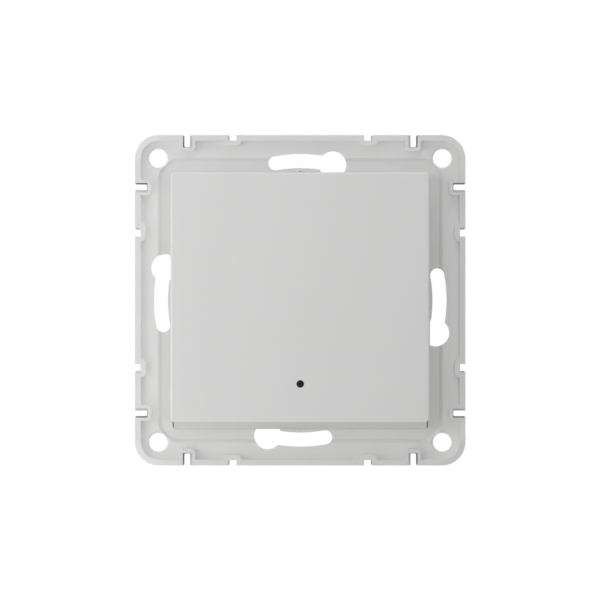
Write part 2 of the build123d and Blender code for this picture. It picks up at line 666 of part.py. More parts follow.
def front_cover():
    plate = slab(RectangleRounded(HOUSING_SIDE, HOUSING_SIDE, COVER_CORNER_R), WEB_FRONT, cover_front)
    plug_side = opening_side - 2 * PLUG_GAP
    plug = RectangleRounded(plug_side, plug_side, opening_corner_r - PLUG_GAP)
    plug_inside = plug_side - 2 * PLUG_WALL
    hollow = RectangleRounded(plug_inside, plug_inside, opening_corner_r - PLUG_GAP - PLUG_WALL)
    for x, y in corners(boss_at):
        hollow -= Pos(x, y) * Circle(BOSS_D / 2)
    cover = plate + slab(plug - hollow, MOUTH_REBATE, WEB_FRONT)
    cover += both_hands(hinge_ear())
    cover += both_hands(rod(hold_post_x, 0, HOLD_POST_D, CONTROL_BOARD_FRONT, WEB_FRONT))

    for x, y in corners(boss_at):
        cover -= rod(x, y, SCREW_D + 2 * SCREW_PASS_GAP, MOUTH_REBATE, cover_front)
        cover -= rod(x, y, SCREW_HEAD_D + 2 * SCREW_HEAD_GAP, screw_seat, cover_front)
    cover -= both_hands(rod(spring_x, spring_y, cup_d, cup_floor, cover_front))
    cover -= rod(0, tact_y, PLUNGER_D + 2 * PLUNGER_HOLE_GAP, WEB_FRONT, cover_front)
    cover -= rod(0, lens_y, GUIDE_D + 2 * GUIDE_HOLE_GAP, MOUTH_REBATE, cover_front)
    half_slot = HOOK_WIDTH / 2 + HOOK_SLOT_GAP
    slot = block(HOOK_X - half_slot, HOOK_X + half_slot,
                 hook_y - HOOK_LEG / 2 - HOOK_SLOT_GAP, hook_y + HOOK_LEG / 2 + HOOK_SLOT_GAP,
                 WEB_FRONT, cover_front)
    return cover - both_hands(slot)


def cover_screws():
    screws = []
    for x, y in corners(boss_at):
        screw = rod(x, y, SCREW_HEAD_D, screw_seat, cover_front)
        screw += rod(x, y, SCREW_D, screw_seat - SCREW_LENGTH, screw_seat)
        drive_length = SCREW_HEAD_D - 2 * DRIVE_WIDTH
        screws.append(screw - cross_drive(x, y, DRIVE_WIDTH, DRIVE_DEPTH, drive_length, cover_front, -1))
    return Compound(screws)


def terminal_bay():
    """Walls in the housing that guide the terminal cages, one pocket for each."""
    bay = block(-bay_half - BAY_WALL, bay_half + BAY_WALL, -cavity_half, bay_wall_to, floor_inside, cage_front)
    for x in terminal_x:
        bay -= block(x - pocket_width / 2, x + pocket_width / 2, -cavity_half, bay_wall_from,
                     floor_inside, cage_front)
    return bay


def housing():
    outside = slab(RectangleRounded(HOUSING_SIDE, HOUSING_SIDE, HOUSING_CORNER_R),
                   -HOUSING_DEPTH, MOUTH_REBATE)
    box = chamfer(outside.edges().group_by(Axis.Z)[0], HOUSING_EDGE)
    cavity_r = HOUSING_CORNER_R - HOUSING_WALL
    box -= slab(RectangleRounded(2 * cavity_half, 2 * cavity_half, cavity_r), floor_inside, MOUTH_REBATE)
    bosses = []
    for x, y in corners(boss_at):
        bosses.append(rod(x, y, BOSS_D, floor_inside, MOUTH_REBATE))
        bosses.append(rod(x, y, control_seat_d, floor_inside, control_board_rear))
        bosses.append(rod(x, y, power_seat_d, floor_inside, power_board_rear))
    inside = slab(RectangleRounded(HOUSING_SIDE - HOUSING_WALL, HOUSING_SIDE - HOUSING_WALL,
                                   HOUSING_CORNER_R - HOUSING_WALL / 2), floor_inside, MOUTH_REBATE)
    for boss in bosses:
        box += boss & inside
    box += terminal_bay()

    grip_middle = (GRIP_COUNT - 1) / 2
    for i in range(GRIP_COUNT):
        y = (i - grip_middle) * GRIP_PITCH
        grip = block(housing_half, housing_half + GRIP_HEIGHT, y - GRIP_WIDTH / 2, y + GRIP_WIDTH / 2,
                     -GRIP_FROM - GRIP_LENGTH, -GRIP_FROM)
        box += both_hands(grip)
    for x in terminal_x:
        box += rod(x, cage_middle, driver_hole_d + 2 * DRIVER_COLLAR_WALL,
                   -HOUSING_DEPTH - DRIVER_COLLAR_HEIGHT, -HOUSING_DEPTH)
    for x in terminal_x:
        box -= rod(x, cage_middle, driver_hole_d, -HOUSING_DEPTH - DRIVER_COLLAR_HEIGHT, floor_inside)
        mouth_half = cage_inner / 2
        box -= block(x - mouth_half, x + mouth_half, -housing_half, -cavity_half,
                     bar_front, cage_front_inside)
        box -= wire_funnel(x, mouth_half)
    for x, y in corners(boss_at):
        box -= rod(x, y, SCREW_D + 2 * SCREW_FIT, screw_seat - SCREW_LENGTH - SCREW_TIP_ROOM, MOUTH_REBATE)
    vent_middle = (VENT_COUNT - 1) / 2
    vent = SlotOverall(VENT_LENGTH, VENT_WIDTH)
    for i in range(VENT_COUNT):
        y = VENT_Y + (i - vent_middle) * VENT_PITCH
        box -= both_hands(slab(Pos(VENT_X, y) * vent, -HOUSING_DEPTH, floor_inside))
    return box


def wire_funnel(x, mouth_half):
    """The widened mouth of one wire entry, on the outer face of the lower wall."""
    middle = (bar_front + cage_front_inside) / 2
    wide = 2 * (mouth_half + WIRE_FUNNEL)
    tall = WIRE_SPACE + 2 * WIRE_FUNNEL
    outer_plane = Plane((x, -housing_half, middle), x_dir=(1, 0, 0), z_dir=(0, 1, 0))
    return extrude(outer_plane * Rectangle(wide, tall), WIRE_FUNNEL, taper=45)


# Circuit boards and the parts on them

def board(front, hole_d):
    """A circuit board with rounded corners, cut out round the housing's corner bosses."""
    outline = RectangleRounded(board_side, board_side, board_corner_r)
    for x, y in corners(boss_at):
        outline -= Pos(x, y) * Circle(hole_d / 2)
        outline -= corner_cut(x, y, hole_d)
    return slab(outline, front - BOARD_THICKNESS, front)


def corner_cut(x, y, hole_d):
    """The strip that opens a boss hole towards the board's corner."""
    reach = board_side / 2
    turn = math.degrees(math.atan2(y, x))
    return Pos(x, y) * Rot(0, 0, turn) * Pos(reach / 2, 0) * Rectangle(reach, hole_d)


def board_header():
    return block(-HEADER_LENGTH / 2, HEADER_LENGTH / 2, HEADER_Y - HEADER_WIDTH / 2,
                 HEADER_Y + HEADER_WIDTH / 2, power_board_front, control_board_rear)


def tact_switch_body():
    half = TACT_SIDE / 2
    body = block(-half, half, tact_y - half, tact_y + half, CONTROL_BOARD_FRONT, tact_front)
    body = chamfer(body.edges().filter_by(Axis.Z), TACT_EDGE)
    well_d = PLUNGER_D + 2 * PLUNGER_CLEARANCE
    return body - rod(0, tact_y, well_d, tact_front - PLUNGER_WELL_DEPTH, tact_front)


def tact_plunger():
    return rod(0, tact_y, PLUNGER_D, tact_front - PLUNGER_DEPTH, plunger_top)


def status_led():
    return block(-LED_LENGTH / 2, LED_LENGTH / 2, lens_y - LED_WIDTH / 2, lens_y + LED_WIDTH / 2,
                 CONTROL_BOARD_FRONT, CONTROL_BOARD_FRONT + LED_HEIGHT)


def radio_board():
    return block(radio_left, radio_right, radio_foot, radio_top,
                 CONTROL_BOARD_FRONT, CONTROL_BOARD_FRONT + RADIO_THICKNESS)


def radio_shield():
    low = CONTROL_BOARD_FRONT + RADIO_THICKNESS
    can = block(radio_left + SHIELD_SIDE_GAP, radio_right - SHIELD_SIDE_GAP,
                radio_foot + SHIELD_END_GAP, radio_top - ANTENNA_LENGTH, low, low + SHIELD_HEIGHT)
    return fillet(can.edges().group_by(Axis.Z)[-1], TACT_EDGE)


def hung_block(x0, x1, y0, y1, floor_gap):
    """A box that hangs from the rear face of the power board, down to a gap above the floor."""
    return block(x0, x1, y0, y1, floor_inside + floor_gap, power_board_rear)


def hung_rod(x, y, diameter, floor_gap):
    """A round part that hangs from the rear face of the power board."""
    return rod(x, y, diameter, floor_inside + floor_gap, power_board_rear)


def relay():
    case = hung_block(relay_left, relay_right, relay_foot, relay_top, RELAY_FLOOR_GAP)
    return fillet(case.edges().group_by(Axis.Z)[0] + case.edges().filter_by(Axis.Z), RELAY_EDGE)


def supply_transformer():
    case = hung_block(transformer_left, transformer_right, transformer_foot, transformer_top,
                      TRANSFORMER_FLOOR_GAP)
    low = floor_inside + TRANSFORMER_FLOOR_GAP + TRANSFORMER_WINDOW
    high = power_board_rear - TRANSFORMER_WINDOW
    for y in (transformer_foot, transformer_top - TRANSFORMER_WINDOW):
        case -= block(transformer_left, transformer_right, y, y + TRANSFORMER_WINDOW, low, high)
    return case


def storage_capacitor():
    can = hung_rod(storage_x, storage_y, STORAGE_D, STORAGE_FLOOR_GAP)
    can = fillet(can.edges().group_by(Axis.Z)[0], RELAY_EDGE)
    return can - cross_drive(storage_x, storage_y, DRIVE_WIDTH, DRIVE_DEPTH, STORAGE_D / 2,
                             floor_inside + STORAGE_FLOOR_GAP, 1)


def filter_capacitor():
    case = hung_block(filter_right - FILTER_WIDTH, filter_right, filter_foot, filter_top, FILTER_FLOOR_GAP)
    return fillet(case.edges().group_by(Axis.Z)[0] + case.edges().filter_by(Axis.Z), FILTER_EDGE)


def choke():
    end = floor_inside + CHOKE_FLOOR_GAP
    drum = rod(choke_x, choke_y, CHOKE_D - 2 * CHOKE_GROOVE, end, power_board_rear)
    drum += rod(choke_x, choke_y, CHOKE_D, end, end + CHOKE_FLANGE)
    return drum + rod(choke_x, choke_y, CHOKE_D, power_board_rear - CHOKE_FLANGE, power_board_rear)


def fuse():
    body = hung_rod(fuse_x, choke_y, FUSE_D, FUSE_FLOOR_GAP)
    return chamfer(body.edges().group_by(Axis.Z)[0], RELAY_EDGE)


def varistor():
    middle_z = power_board_rear - VARISTOR_STANDOFF - VARISTOR_D / 2
    disc = Pos(varistor_x, varistor_y, middle_z) * Rot(90, 0, 0) * Cylinder(VARISTOR_D / 2, VARISTOR_THICKNESS)
    disc = fillet(disc.edges().filter_by(GeomType.CIRCLE), VARISTOR_THICKNESS / 4)
    for side in (-1, 1):
        lead_x = varistor_x + side * VARISTOR_LEAD_PITCH / 2
        disc += rod(lead_x, varistor_y, VARISTOR_LEAD_D, middle_z, power_board_rear)
    return disc


# Wire terminals

def terminal_cage(x):
    cage = block(x - cage_half, x + cage_half, cage_from, cage_to, cage_rear, cage_front)
    cage -= block(x - cage_inner / 2, x + cage_inner / 2, cage_from, cage_to,
                  cage_rear_inside, cage_front_inside)
    return cage - rod(x, cage_middle, TERMINAL_SCREW_D + 2 * TERMINAL_FIT, cage_rear, cage_rear_inside)


def terminal_screw(x):
    screw = rod(x, cage_middle, TERMINAL_HEAD_D, head_rear, head_front)
    screw += rod(x, cage_middle, TERMINAL_SCREW_D, head_front, tip)
    return screw - block(x - TERMINAL_HEAD_D / 2, x + TERMINAL_HEAD_D / 2,
                         cage_middle - TERMINAL_SLOT_WIDTH / 2, cage_middle + TERMINAL_SLOT_WIDTH / 2,
                         head_rear, head_rear + TERMINAL_SLOT_DEPTH)


def terminal_bar(x):
    half = bar_width / 2
    flat = block(x - half, x + half, cage_from, tab_to, bar_rear, bar_front)
    return flat + block(x - half, x + half, tab_from, tab_to, bar_front, power_board_rear)


pieces = {
    "support_frame": support_frame(),
    "key": key(),
    "light_guide": light_guide(),
    "front_cover": front_cover(),
    "housing": housing(),
    "cover_screws": cover_screws(),
    "control_board": board(CONTROL_BOARD_FRONT, control_hole_d),
    "power_board": board(power_board_front, power_hole_d),
    "board_header": board_header(),
    "tact_switch_body": tact_switch_body(),
    "tact_plunger": tact_plunger(),
    "status_led": status_led(),
    "radio_board": radio_board(),
    "radio_shield": radio_shield(),
    "relay": relay(),
    "supply_transformer": supply_transformer(),
    "storage_capacitor": storage_capacitor(),
    "filter_capacitor": filter_capacitor(),
    "choke": choke(),
    "fuse": fuse(),
    "varistor": varistor(),
    "return_spring_right": return_spring(),
    "return_spring_left": mirror(return_spring(), about=Plane.YZ),
}
for number, x in enumerate(terminal_x, start=1):
    pieces[f"terminal_cage_{number}"] = terminal_cage(x)
    pieces[f"terminal_screw_{number}"] = terminal_screw(x)
    pieces[f"terminal_bar_{number}"] = terminal_bar(x)

os.makedirs("parts", exist_ok=True)
stand_up = Rot(90, 0, 0)
for name, piece in pieces.items():
    export_step(stand_up * piece, f"parts/{name}.step")
    print(name, round(piece.volume, 2))
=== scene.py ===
# %% [markdown]
# # A flush light switch insert, dressed for the camera
# The object is the inner part of a wall switch: a square moulded frame, one wide key in front of it and
# a small housing that goes into the wall box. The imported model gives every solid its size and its
# place, and this script gives the surfaces their finish. It starts by loading that model and by noting
# its box, because the dressed part has to stay inside it.

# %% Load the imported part
import json
import math
import bmesh
import bpy
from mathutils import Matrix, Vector


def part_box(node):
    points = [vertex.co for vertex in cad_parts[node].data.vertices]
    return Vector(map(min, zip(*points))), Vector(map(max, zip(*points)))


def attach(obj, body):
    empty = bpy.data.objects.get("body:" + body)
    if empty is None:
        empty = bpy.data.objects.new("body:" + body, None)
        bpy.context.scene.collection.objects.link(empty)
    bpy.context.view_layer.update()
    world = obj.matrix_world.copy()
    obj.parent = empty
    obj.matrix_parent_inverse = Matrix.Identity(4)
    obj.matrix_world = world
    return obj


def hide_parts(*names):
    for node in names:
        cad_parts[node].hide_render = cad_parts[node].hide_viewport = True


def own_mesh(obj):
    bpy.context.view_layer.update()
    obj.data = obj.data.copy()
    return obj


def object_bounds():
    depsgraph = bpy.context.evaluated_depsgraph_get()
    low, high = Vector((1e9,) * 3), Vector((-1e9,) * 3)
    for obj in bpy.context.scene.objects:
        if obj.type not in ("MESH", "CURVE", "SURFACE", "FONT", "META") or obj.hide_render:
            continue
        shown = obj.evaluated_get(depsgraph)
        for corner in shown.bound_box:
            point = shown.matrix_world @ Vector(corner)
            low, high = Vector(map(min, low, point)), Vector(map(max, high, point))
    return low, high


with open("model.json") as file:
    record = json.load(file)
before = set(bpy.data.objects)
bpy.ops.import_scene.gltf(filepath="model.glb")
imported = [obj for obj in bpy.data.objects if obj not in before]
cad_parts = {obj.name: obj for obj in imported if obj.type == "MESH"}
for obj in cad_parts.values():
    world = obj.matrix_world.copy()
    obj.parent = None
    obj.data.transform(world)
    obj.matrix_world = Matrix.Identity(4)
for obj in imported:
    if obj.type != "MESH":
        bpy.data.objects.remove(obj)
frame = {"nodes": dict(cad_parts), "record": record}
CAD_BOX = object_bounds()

MM = 0.001
NODES = frame["nodes"]
print("solids:", len(NODES), " box in mm:", [[round(v / MM, 2) for v in corner] for corner in CAD_BOX])

# %% [markdown]
# ## The camera
# The photograph looks straight at the key from a good distance, which shows in how little of the key's
# side walls can be seen. A lens far away with a narrow view gives the same. The frame's rim is the best
# ruler: its width in pixels sets the width of the view, and the distance follows from how much larger
# the nearer key appears.

# %% Make the camera
IMAGE_SIDE = 600
SENSOR = 36.0
RIM_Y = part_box("support_frame")[0][1]
CAMERA_AWAY = 600 * MM
PIXELS_PER_METRE = 4653
OFF_CENTRE = (0.25, 0.3)

view_width = IMAGE_SIDE / PIXELS_PER_METRE
camera_data = bpy.data.cameras.new("front_camera")
camera_data.sensor_width = SENSOR
camera_data.lens = SENSOR * CAMERA_AWAY / view_width
camera = bpy.data.objects.new("front_camera", camera_data)
camera.location = (
    -OFF_CENTRE[0] / PIXELS_PER_METRE, RIM_Y - CAMERA_AWAY, OFF_CENTRE[1] / PIXELS_PER_METRE)
camera.rotation_euler = (math.radians(90), 0, 0)
bpy.context.scene.collection.objects.link(camera)
bpy.context.scene.camera = camera
print("lens in mm:", round(camera_data.lens, 1), " view in mm:", round(view_width / MM, 2))

# %% [markdown]
# ## Small helpers for node trees
# Materials and Geometry Nodes are both trees of nodes. A few helpers keep the later cells short: one
# starts a tree with named inputs and outputs, one adds a node and fills or links its sockets in the
# same line, and two more make the nodes that come up most, a sum and a blend of two colours.

# %% Tree helpers
def start_tree(name, kind, inputs, outputs):
    """A node group with named sockets: its tree, the given sockets and the result sockets."""
    tree = bpy.data.node_groups.new(name, kind)
    for label, socket in inputs.items():
        tree.interface.new_socket(label, in_out="INPUT", socket_type="NodeSocket" + socket)
    for label, socket in outputs.items():
        tree.interface.new_socket(label, in_out="OUTPUT", socket_type="NodeSocket" + socket)
    given = tree.nodes.new("NodeGroupInput")
    result = tree.nodes.new("NodeGroupOutput")
    return tree, given.outputs, result.inputs


def add(tree, kind, sockets=None, **settings):
    """One new node, with its settings and its input sockets filled or linked."""
    node = tree.nodes.new(kind)
    for name, value in settings.items():
        setattr(node, name, value)
    for name, value in (sockets or {}).items():
        if isinstance(value, bpy.types.NodeSocket):
            tree.links.new(value, node.inputs[name])
        else:
            node.inputs[name].default_value = value
    return node


def sums(tree, operation, first, second=0.0):
    """One Math node, as its result socket."""
    node = add(tree, "ShaderNodeMath", {0: first, 1: second}, operation=operation)
    return node.outputs[0]


# the colour sockets of a Mix node, which share their names with its other sockets
COLOUR_A, COLOUR_B, COLOUR_OUT = 6, 7, 2


def blend(tree, share, first, second):
    """One Mix node between two colours, as its result socket."""
    colours = {"Factor": share, COLOUR_A: first, COLOUR_B: second}
    node = add(tree, "ShaderNodeMix", colours, data_type="RGBA")
    return node.outputs[COLOUR_OUT]


print("helpers: start_tree, add, sums, blend")

# %% [markdown]
# ## The studio
# The photograph has a white ground and soft light that is strongest from the left: the same flat
# plastic is brighter on the left rim than on the right one, and the shadows in the steps are faint.
# Lamps close to the left edge give that fall of light across a part only 71 mm wide, while a strong
# lamp far away would light both rims alike. Weak lamps fill in from above and from the right, two small
# ones low on the left brighten the near end of the key's sloped edge, and a narrow one straight behind
# lights the rear without reaching the side walls of the notches. The world is pure white where the
# camera or a reflection looks at it, and gives everything else a weaker fill. The floor gets a little
# glow in the same way, so that it stays pale and still shows the part's shadow.

# %% White world with a softer fill
FILL = 0.30
WHITE = (1, 1, 1, 1)


def looked_at(tree):
    """One for what the camera sees, straight, mirrored or through glass, and nothing for other light."""
    path = add(tree, "ShaderNodeLightPath")
    mirrored = sums(tree, "MAXIMUM", path.outputs["Is Glossy Ray"], path.outputs["Is Transmission Ray"])
    return sums(tree, "MAXIMUM", path.outputs["Is Camera Ray"], mirrored)


world = bpy.data.worlds.new("white_room")
world.use_nodes = True
bpy.context.scene.world = world
world.node_tree.nodes.clear()
fill = add(world.node_tree, "ShaderNodeBackground", {"Color": WHITE, "Strength": FILL})
white = add(world.node_tree, "ShaderNodeBackground", {"Color": WHITE, "Strength": 1.0})
choice = add(world.node_tree, "ShaderNodeMixShader", {
    0: looked_at(world.node_tree), 1: fill.outputs[0], 2: white.outputs[0]})
add(world.node_tree, "ShaderNodeOutputWorld", {"Surface": choice.outputs[0]})
bpy.context.scene.view_settings.view_transform = "Standard"
print("fill:", FILL)

# %% Soft lamps
LAMPS = {
    # name: place, side of the square, watts
    "upper_left": ((-0.049, -0.136, 0.041), 0.075, 0.0223),
    "left_window": ((-0.198, -0.096, 0.0), 0.11, 0.0789),
    "top_window": ((0.0, -0.073, 0.342), 0.175, 0.309),
    "low_left": ((-0.067, -0.025, -0.096), 0.05, 0.0128),
    "left_strip": ((-0.342, -0.073, 0.0), 0.175, 0.238),
    "right_fill": ((0.278, -0.856, 0.0), 0.45, 1.14),
    "upper_window": ((0.0, -0.132, 0.27), 0.15, 0.0567),
    "lower_left": ((-0.076, -0.053, -0.076), 0.05, 0.00706),
    "rear_card": ((0.0, 1.1, 0.1), 0.4, 0.2),
}
NARROW = {"rear_card": math.radians(30)}


def soft_lamp(name, place, side, watts):
    """A broad lamp that looks at the part; a narrow one stays off the floor and out of reflections."""
    lamp = bpy.data.lights.new(name, "AREA")
    lamp.shape = "SQUARE"
    lamp.size = side
    lamp.energy = watts
    holder = bpy.data.objects.new(name, lamp)
    holder.location = place
    holder.rotation_euler = (-Vector(place)).to_track_quat("-Z", "Y").to_euler()
    holder.visible_camera = False
    if name in NARROW:
        lamp.spread = NARROW[name]
        holder.visible_glossy = False
    bpy.context.scene.collection.objects.link(holder)


for lamp_name, row in LAMPS.items():
    soft_lamp(lamp_name, *row)
print("lamps:", ", ".join(LAMPS))

# %% Pale floor
FLOOR_Z = -320 * MM
FLOOR_RADIUS = 2.0
FLOOR_SIDES = 96
FLOOR_COLOUR = (0.82, 0.82, 0.81, 1)
FLOOR_ROUGHNESS = 0.8
FLOOR_GLOW = 0.45

floor_mesh = bpy.data.meshes.new("studio_floor")
disc = bmesh.new()
bmesh.ops.create_circle(disc, cap_ends=True, segments=FLOOR_SIDES, radius=FLOOR_RADIUS)
bmesh.ops.translate(disc, verts=disc.verts, vec=(0, 0, FLOOR_Z))
disc.to_mesh(floor_mesh)
disc.free()
floor = bpy.data.objects.new("studio_floor", floor_mesh)
bpy.context.scene.collection.objects.link(floor)

floor_paint = bpy.data.materials.new("pale_floor")
floor_paint.use_nodes = True
floor_tree = floor_paint.node_tree
shader = floor_tree.nodes["Principled BSDF"]
shader.inputs["Base Color"].default_value = FLOOR_COLOUR
shader.inputs["Roughness"].default_value = FLOOR_ROUGHNESS
shader.inputs["Emission Color"].default_value = WHITE
glow = sums(floor_tree, "MULTIPLY", looked_at(floor_tree), FLOOR_GLOW)
floor_tree.links.new(glow, shader.inputs["Emission Strength"])
floor_mesh.materials.append(floor_paint)
print("floor at", FLOOR_Z / MM, "mm")

# %% [markdown]
# ## Moulded plastic
# Nearly everything seen here is moulded plastic. A moulded skin is never quite even: the tool leaves a
# fine grain and the melt leaves faint clouds. One node group makes both from noise on the part's own
# coordinates, and each plastic puts in its own colour, grain and gloss. A picture of grain would do
# too, but noise has no seams.

# %% The moulded skin group
CLOUD_SCALE = 130.0
NOISE_MEAN = 0.5

skin, given, result = start_tree(
    "moulded_skin", "ShaderNodeTree",
    {"Colour": "Color", "Clouds": "Float", "Grain": "Float", "Roughness": "Float", "Spread": "Float"},
    {"Colour": "Color", "Roughness": "Float", "Height": "Float"})
place = add(skin, "ShaderNodeTexCoord").outputs["Object"]
clouds = add(skin, "ShaderNodeTexNoise", {"Vector": place, "Scale": CLOUD_SCALE, "Detail": 3.0})
grain = add(skin, "ShaderNodeTexNoise", {"Vector": place, "Scale": given["Grain"], "Detail": 2.0})
drift = sums(skin, "SUBTRACT", clouds.outputs["Fac"], NOISE_MEAN)
level = sums(skin, "ADD", sums(skin, "MULTIPLY", drift, given["Clouds"]), 1.0)
tinted = add(skin, "ShaderNodeVectorMath", {0: given["Colour"], "Scale": level}, operation="SCALE")
ripple = sums(skin, "SUBTRACT", grain.outputs["Fac"], NOISE_MEAN)
gloss = sums(skin, "ADD", sums(skin, "MULTIPLY", ripple, given["Spread"]), given["Roughness"])
skin.links.new(tinted.outputs[0], result["Colour"])
skin.links.new(gloss, result["Roughness"])
skin.links.new(grain.outputs["Fac"], result["Height"])
print("moulded_skin:", len(skin.nodes), "nodes")

# %% Materials from a group
def finish_with(name, group, values, bump, **principled):
    """A material whose colour, gloss and fine relief come from a node group."""
    material = bpy.data.materials.new(name)
    material.use_nodes = True
    tree = material.node_tree
    shader = tree.nodes["Principled BSDF"]
    effect = add(tree, "ShaderNodeGroup", node_tree=group)
    for label, value in values.items():
        effect.inputs[label].default_value = value
    relief = add(tree, "ShaderNodeBump", {
        "Height": effect.outputs["Height"], "Strength": 1.0, "Distance": bump})
    tree.links.new(effect.outputs["Colour"], shader.inputs["Base Color"])
    tree.links.new(effect.outputs["Roughness"], shader.inputs["Roughness"])
    tree.links.new(relief.outputs["Normal"], shader.inputs["Normal"])
    for label, value in principled.items():
        shader.inputs[label.replace("_", " ").title().replace("Ior", "IOR")].default_value = value
    material.diffuse_color = values["Colour"]
    return material


FINISH = {}
print("finish_with makes a material from a group")

# %% Plastics of the part
MICRON = 1e-6
GREEN_SHARE = 0.6


def grey(level, warmth=0.0):
    """A grey, a touch warmer where warmth is above nothing."""
    return (level, level * (1 - GREEN_SHARE * warmth), level * (1 - warmth), 1)


PLASTICS = {
    # name: colour, clouds, grain, roughness, spread, relief in microns, refraction
    "key_plastic": (grey(0.80, 0.006), 0.02, 5200.0, 0.54, 0.08, 1.5, 1.4),
    "frame_plastic": (grey(0.80, 0.007), 0.03, 4200.0, 0.58, 0.10, 2.5, 1.4),
    "cover_plastic": (grey(0.48), 0.05, 3600.0, 0.52, 0.12, 4, 1.46),
    "housing_plastic": (grey(0.40), 0.06, 2600.0, 0.55, 0.16, 9, 1.46),
    "black_plastic": (grey(0.03), 0.2, 3200.0, 0.45, 0.14, 5, 1.46),
    "relay_case": ((0.045, 0.047, 0.06, 1), 0.15, 2800.0, 0.4, 0.14, 5, 1.46),
    "fuse_case": ((0.11, 0.06, 0.045, 1), 0.2, 3000.0, 0.4, 0.12, 4, 1.5),
    "film_case": ((0.72, 0.50, 0.09, 1), 0.1, 2200.0, 0.3, 0.1, 3, 1.5),
    "varistor_coat": ((0.04, 0.14, 0.40, 1), 0.25, 900.0, 0.25, 0.12, 25, 1.55),
    "capacitor_sleeve": ((0.05, 0.06, 0.10, 1), 0.15, 1500.0, 0.3, 0.1, 3, 1.5),
    "ferrite": ((0.075, 0.075, 0.085, 1), 0.35, 3800.0, 0.6, 0.25, 12, 1.8),
}


def plastic(name, colour, clouds, grain, roughness, spread, relief, ior, **principled):
    """The material of one moulding, from its row of values."""
    values = {"Colour": colour, "Clouds": clouds, "Grain": grain, "Roughness": roughness, "Spread": spread}
    FINISH[name] = finish_with(name, skin, values, relief * MICRON, ior=ior, **principled)


for plastic_name, row in PLASTICS.items():
    plastic(plastic_name, *row)
print("plastics:", ", ".join(FINISH))

# %% [markdown]
# ## Smoked lens and clear resin
# The dark dot in the key is the end of a smoked light guide. It takes in nearly all light, so a very
# dark body with a soft gloss says it well; real glass would cost more and look the same. A faint cloud
# keeps it from being one flat tone. The lamp chip behind it is pale resin.

# %% Lens and resin
plastic("smoked_lens", colour=grey(0.012), clouds=0.3, grain=1800.0, roughness=0.35, spread=0.1,
        relief=0.5, ior=1.36, specular_ior_level=0.18)
plastic("led_resin", colour=(0.80, 0.74, 0.50, 1), clouds=0.1, grain=900.0, roughness=0.2, spread=0.08,
        relief=2, ior=1.5)
print("smoked_lens and led_resin made")

# %% [markdown]
# ## Metals
# Screws and clamps are zinc plated, springs are drawn wire and the terminal bars are rolled brass.
# Drawing and rolling leave fine streaks along the work, and plating clouds over with handling. The
# group stretches one noise along an axis for the streaks and mixes a duller colour in with another.

# %% The drawn metal group
HAZE_SCALE = 420.0

drawn, given, result = start_tree(
    "drawn_metal", "ShaderNodeTree",
    {"Colour": "Color", "Tarnish": "Color", "Stretch": "Vector", "Roughness": "Float", "Spread": "Float"},
    {"Colour": "Color", "Roughness": "Float", "Height": "Float"})
place = add(drawn, "ShaderNodeTexCoord").outputs["Object"]
stretched = add(drawn, "ShaderNodeVectorMath", {0: place, 1: given["Stretch"]}, operation="MULTIPLY")
streaks = add(drawn, "ShaderNodeTexNoise", {"Vector": stretched.outputs[0], "Scale": 1.0, "Detail": 2.0})
haze = add(drawn, "ShaderNodeTexNoise", {"Vector": place, "Scale": HAZE_SCALE, "Detail": 4.0})
dulled = blend(drawn, haze.outputs["Fac"], given["Colour"], given["Tarnish"])
ripple = sums(drawn, "SUBTRACT", streaks.outputs["Fac"], NOISE_MEAN)
gloss = sums(drawn, "ADD", sums(drawn, "MULTIPLY", ripple, given["Spread"]), given["Roughness"])
drawn.links.new(dulled, result["Colour"])
drawn.links.new(gloss, result["Roughness"])
drawn.links.new(streaks.outputs["Fac"], result["Height"])
print("drawn_metal:", len(drawn.nodes), "nodes")

# %% Metals of the part
FINE, LONG = 9000.0, 600.0
METALS = {
    # name: colour, tarnish, fineness along each axis, roughness, spread, relief in microns, metallic
    "zinc_steel": ((0.62, 0.63, 0.65, 1), (0.47, 0.48, 0.50, 1), (FINE, LONG, FINE), 0.32, 0.2, 2, 1.0),
    "tinned_steel": ((0.68, 0.67, 0.65, 1), (0.55, 0.55, 0.54, 1), (LONG, FINE, FINE), 0.3, 0.2, 1.5, 1.0),
    "spring_steel": ((0.56, 0.56, 0.57, 1), (0.42, 0.42, 0.43, 1), (FINE, FINE, FINE), 0.28, 0.15, 1, 1.0),
    "terminal_brass": ((0.74, 0.55, 0.24, 1), (0.56, 0.39, 0.16, 1), (FINE, FINE, LONG), 0.34, 0.2, 1.5, 1.0),
    "copper_wire": ((0.72, 0.30, 0.13, 1), (0.50, 0.17, 0.07, 1), (FINE, FINE, FINE), 0.3, 0.15, 1, 0.9),
}


def metal(name, colour, tarnish, stretch, roughness, spread, relief, metallic):
    """The material of one metal, from its row of values."""
    values = {"Colour": colour, "Tarnish": tarnish, "Stretch": stretch, "Roughness": roughness,
              "Spread": spread}
    FINISH[name] = finish_with(name, drawn, values, relief * MICRON, metallic=metallic)


for metal_name, row in METALS.items():
    metal(metal_name, *row)
print("metals:", ", ".join(METALS))

# %% [markdown]
# ## Circuit boards
# A board shows its copper tracks as slightly raised, paler lines under the green lacquer. A brick
# pattern with long bricks gives runs of track with the odd crossing, and its mortar mask drives colour,
# gloss and height alike.

# %% The board group
TRACK_WIDTH = 0.03
TRACK_GLOSS = 0.08

